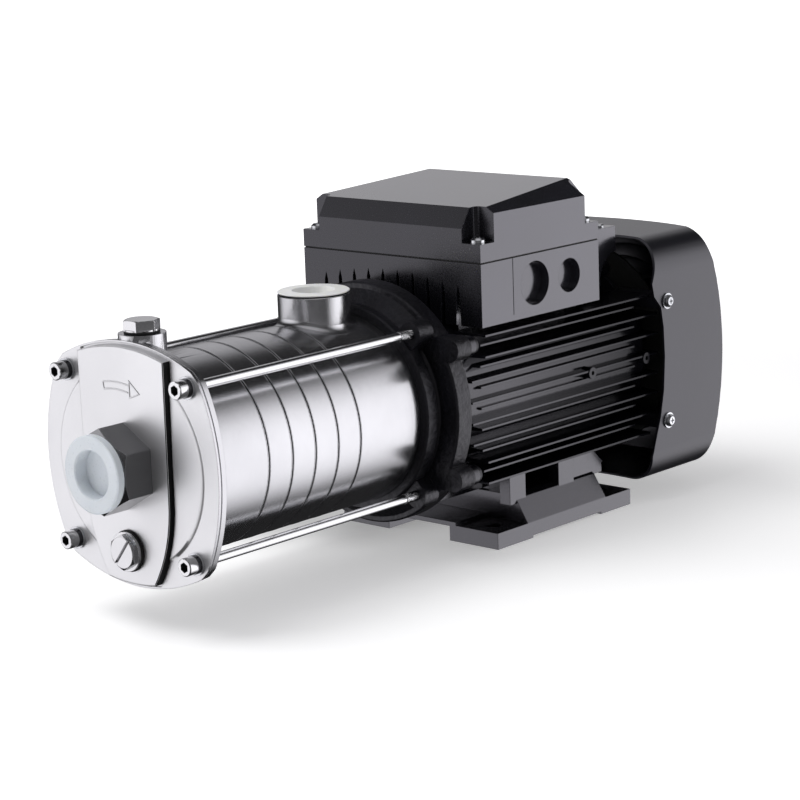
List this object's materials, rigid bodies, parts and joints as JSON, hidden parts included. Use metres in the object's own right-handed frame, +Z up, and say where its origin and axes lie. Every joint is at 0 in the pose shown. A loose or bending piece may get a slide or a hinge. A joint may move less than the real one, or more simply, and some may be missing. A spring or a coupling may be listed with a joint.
{
  "type": "horizontal multistage centrifugal pump with electric motor",
  "caption": "Stainless barrel pump clamped by tie bolts to a finned motor with a terminal box, fan cover and foot; suction port in front, discharge port on top.",
  "frame": {"origin": "middle of the rectangle of foot bolts, on the underside of the foot", "axes": "+X along the shaft from the suction port to the fan, +Y across the pump, +Z up towards the discharge port"},
  "size_m": [0.473, 0.1606, 0.2115],
  "materials": {
    "stainless_cast": "satin",
    "stainless_sheet": "brushed",
    "stainless_dark": "satin",
    "zinc_steel": "bright",
    "tool_steel": "ground",
    "cast_black": "textured matt paint on cast metal",
    "motor_black": "satin paint",
    "box_black": "fine grain",
    "cover_grey": "satin paint",
    "white_plastic": "translucent",
    "engineering_plastic": "moulded",
    "fan_plastic": "moulded",
    "rubber": "matt",
    "ceramic": "lapped",
    "laminated_iron": "stacked sheet",
    "copper": "varnished copper wire",
    "brass": "turned",
    "brown_resin": "moulded",
    "pale_plastic": "smooth"
  },
  "bodies": {
    "pump": {"suction_casing": "stainless_cast", "suction_adapter": "stainless_dark", "tie_bolts": "stainless_dark", "tie_bolt_washers": "zinc_steel", "tie_bolt_spring_washers": "tool_steel", "stage_shell_1": "stainless_sheet", "stage_shell_2": "stainless_sheet", "stage_shell_3": "stainless_sheet", "stage_shell_4": "stainless_sheet", "discharge_casing": "stainless_sheet", "casing_gaskets": "rubber", "suction_guide": "stainless_dark", "diffusers": "engineering_plastic", "seal_plate": "stainless_dark", "seal_seat": "ceramic", "motor_bracket": "cast_black", "motor_bolts": "tool_steel", "stator_frame": "motor_black", "stator_core": "laminated_iron", "stator_windings": "copper", "front_bearing_outer": "zinc_steel", "rear_bearing_outer": "zinc_steel", "rear_end_shield": "cast_black", "end_shield_screws": "tool_steel", "fan_cover": "cover_grey", "fan_cover_screws": "zinc_steel", "terminal_box_base": "box_black", "lid_gasket": "rubber", "cable_blanks": "box_black", "duct_screws": "zinc_steel", "terminal_block": "brown_resin", "terminal_studs": "brass", "capacitor": "pale_plastic", "capacitor_strap": "zinc_steel", "foot": "motor_black", "foot_bolts": "tool_steel"},
    "rotor": {"shaft": "stainless_dark", "impeller_1": "stainless_dark", "impeller_2": "stainless_dark", "impeller_3": "stainless_dark", "impeller_4": "stainless_dark", "impeller_5": "stainless_dark", "impeller_spacers": "stainless_dark", "impeller_nut": "stainless_dark", "seal_rotary": "rubber", "slinger": "rubber", "rotor_core": "laminated_iron", "front_bearing_inner": "zinc_steel", "rear_bearing_inner": "zinc_steel", "fan": "fan_plastic", "fan_clip": "tool_steel"},
    "suction_cap_body": {"suction_cap": "white_plastic"},
    "discharge_cap_body": {"discharge_cap": "white_plastic"},
    "drain_plug_body": {"drain_plug": "stainless_dark", "drain_plug_seal": "rubber"},
    "filling_plug_body": {"filling_plug": "stainless_dark", "filling_plug_seal": "rubber"},
    "lid": {"terminal_box_lid": "box_black", "lid_screws": "zinc_steel"}
  },
  "joints": [
    {"name": "rotor_spin", "type": "hinge", "parent": "pump", "child": "rotor", "pos_m": [0, 0, 0.09], "axis": [1, 0, 0], "continuous": true},
    {"name": "suction_cap_pull", "type": "slide", "parent": "pump", "child": "suction_cap_body", "axis": [-1, 0, 0], "range_m": [0, 0.12]},
    {"name": "discharge_cap_pull", "type": "slide", "parent": "pump", "child": "discharge_cap_body", "axis": [0, 0, 1], "range_m": [0, 0.12]},
    {"name": "drain_plug_out", "type": "slide", "parent": "pump", "child": "drain_plug_body", "axis": [-1, 0, 0], "range_m": [0, 0.04]},
    {"name": "filling_plug_out", "type": "slide", "parent": "pump", "child": "filling_plug_body", "axis": [0, 0, 1], "range_m": [0, 0.04]},
    {"name": "lid_lift", "type": "slide", "parent": "pump", "child": "lid", "axis": [0, 0, 1], "range_m": [0, 0.08]}
  ]
}
